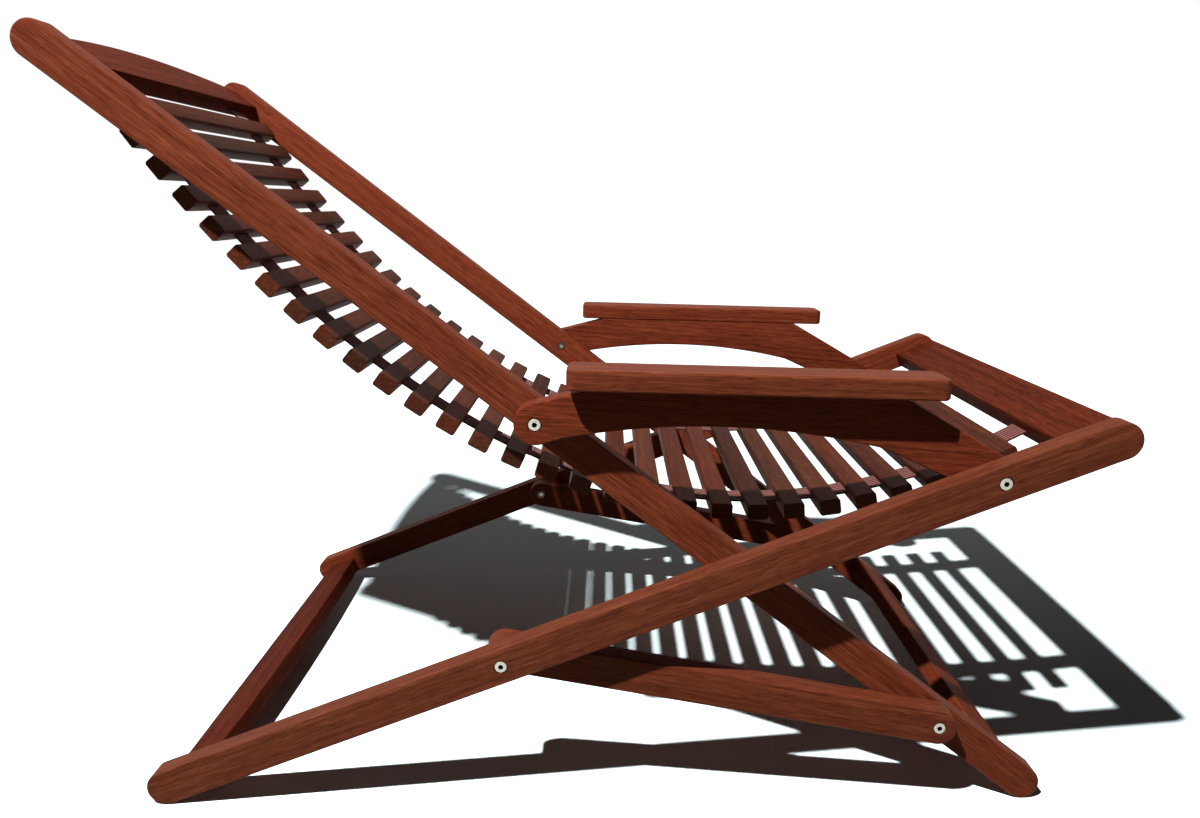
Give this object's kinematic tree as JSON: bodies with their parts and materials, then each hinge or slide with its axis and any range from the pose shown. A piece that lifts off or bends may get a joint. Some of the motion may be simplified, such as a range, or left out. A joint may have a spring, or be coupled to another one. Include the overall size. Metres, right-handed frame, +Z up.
{
  "type": "folding lounge armchair",
  "caption": "Low folding garden armchair: crossed hardwood frames, level armrests, side struts and a hanging slatted sling.",
  "frame": {"origin": "on the ground at the middle of the overall length and width", "axes": "+X is the sitter's forward direction, +Y the sitter's left, +Z up"},
  "size_m": [1.1259, 0.65, 0.8066],
  "materials": {
    "hardwood": "oiled reddish-brown hardwood",
    "webbing": "woven strap with fine lengthwise stripes",
    "steel": "plain stainless steel",
    "dowel_wood": "plain dowel"
  },
  "bodies": {
    "arm_left": {"arm_left": "hardwood", "armrest_dowels_left": "dowel_wood", "armrest_left": "hardwood"},
    "back_frame": {"arm_pivot_barrels": "steel", "arm_pivot_bolts": "steel", "arm_pivot_washers": "steel", "back_rail_left": "hardwood", "back_rail_right": "hardwood", "back_straps": "webbing", "crest_rail": "hardwood", "front_foot_bar": "hardwood", "slat_01": "hardwood", "slat_02": "hardwood", "slat_03": "hardwood", "slat_04": "hardwood", "slat_05": "hardwood", "slat_06": "hardwood", "slat_07": "hardwood", "slat_08": "hardwood", "slat_09": "hardwood", "slat_10": "hardwood", "slat_11": "hardwood", "slat_12": "hardwood", "slat_13": "hardwood", "slat_14": "hardwood", "slat_15": "hardwood", "strut_pivot_barrels": "steel"},
    "arm_right": {"arm_right": "hardwood", "armrest_dowels_right": "dowel_wood", "armrest_right": "hardwood"},
    "seat_frame": {"front_board": "hardwood", "rear_foot_bar": "hardwood", "seat_pivot_barrels": "steel", "seat_pivot_bolts": "steel", "seat_pivot_washers": "steel", "seat_rail_left": "hardwood", "seat_rail_right": "hardwood", "seat_straps": "webbing", "slat_22": "hardwood", "slat_23": "hardwood", "slat_24": "hardwood", "slat_25": "hardwood", "slat_26": "hardwood", "slat_27": "hardwood", "slat_28": "hardwood", "slat_29": "hardwood"},
    "lumbar_sling": {"lumbar_straps": "webbing", "slat_16": "hardwood", "slat_17": "hardwood", "slat_18": "hardwood", "slat_19": "hardwood", "slat_20": "hardwood", "slat_21": "hardwood"},
    "strut_left": {"strut_left": "hardwood", "strut_pivot_bolt_left": "steel", "strut_pivot_washer_left": "steel"},
    "strut_right": {"strut_pivot_bolt_right": "steel", "strut_pivot_washer_right": "steel", "strut_right": "hardwood"}
  },
  "joints": [
    {"name": "arm_fold_left", "type": "hinge", "parent": "seat_frame", "child": "arm_left", "pos_m": [0.42859, 0.284, 0.38331], "axis": [0, -1, 0], "range_deg": [0, 28.1]},
    {"name": "arm_fold_right", "type": "hinge", "parent": "seat_frame", "child": "arm_right", "pos_m": [0.42859, -0.284, 0.38331], "axis": [0, -1, 0], "range_deg": [0, 28.1]},
    {"name": "back_fold", "type": "hinge", "parent": "arm_left", "child": "back_frame", "pos_m": [-0.04085, 0, 0.42405], "axis": [0, 1, 0], "range_deg": [0, 143.24]},
    {"name": "strut_fold_left", "type": "hinge", "parent": "seat_frame", "child": "strut_left", "pos_m": [-0.07097, 0.284, 0.17177], "axis": [0, 1, 0], "range_deg": [0, 142.2]},
    {"name": "strut_fold_right", "type": "hinge", "parent": "seat_frame", "child": "strut_right", "pos_m": [-0.07097, -0.284, 0.17177], "axis": [0, 1, 0], "range_deg": [0, 142.2]},
    {"name": "lumbar_fold", "type": "hinge", "parent": "seat_frame", "child": "lumbar_sling", "pos_m": [0.18149, 0, 0.31534], "axis": [0, -1, 0], "range_deg": [0, 42.2]}
  ],
  "couplings": [
    {"joint": "arm_fold_left", "follows": "back_fold", "ratio": 0.19534},
    {"joint": "arm_fold_right", "follows": "back_fold", "ratio": 0.19534},
    {"joint": "strut_fold_left", "follows": "back_fold", "ratio": 0.99134},
    {"joint": "strut_fold_right", "follows": "back_fold", "ratio": 0.99134},
    {"joint": "lumbar_fold", "follows": "back_fold", "ratio": 0.29321}
  ]
}
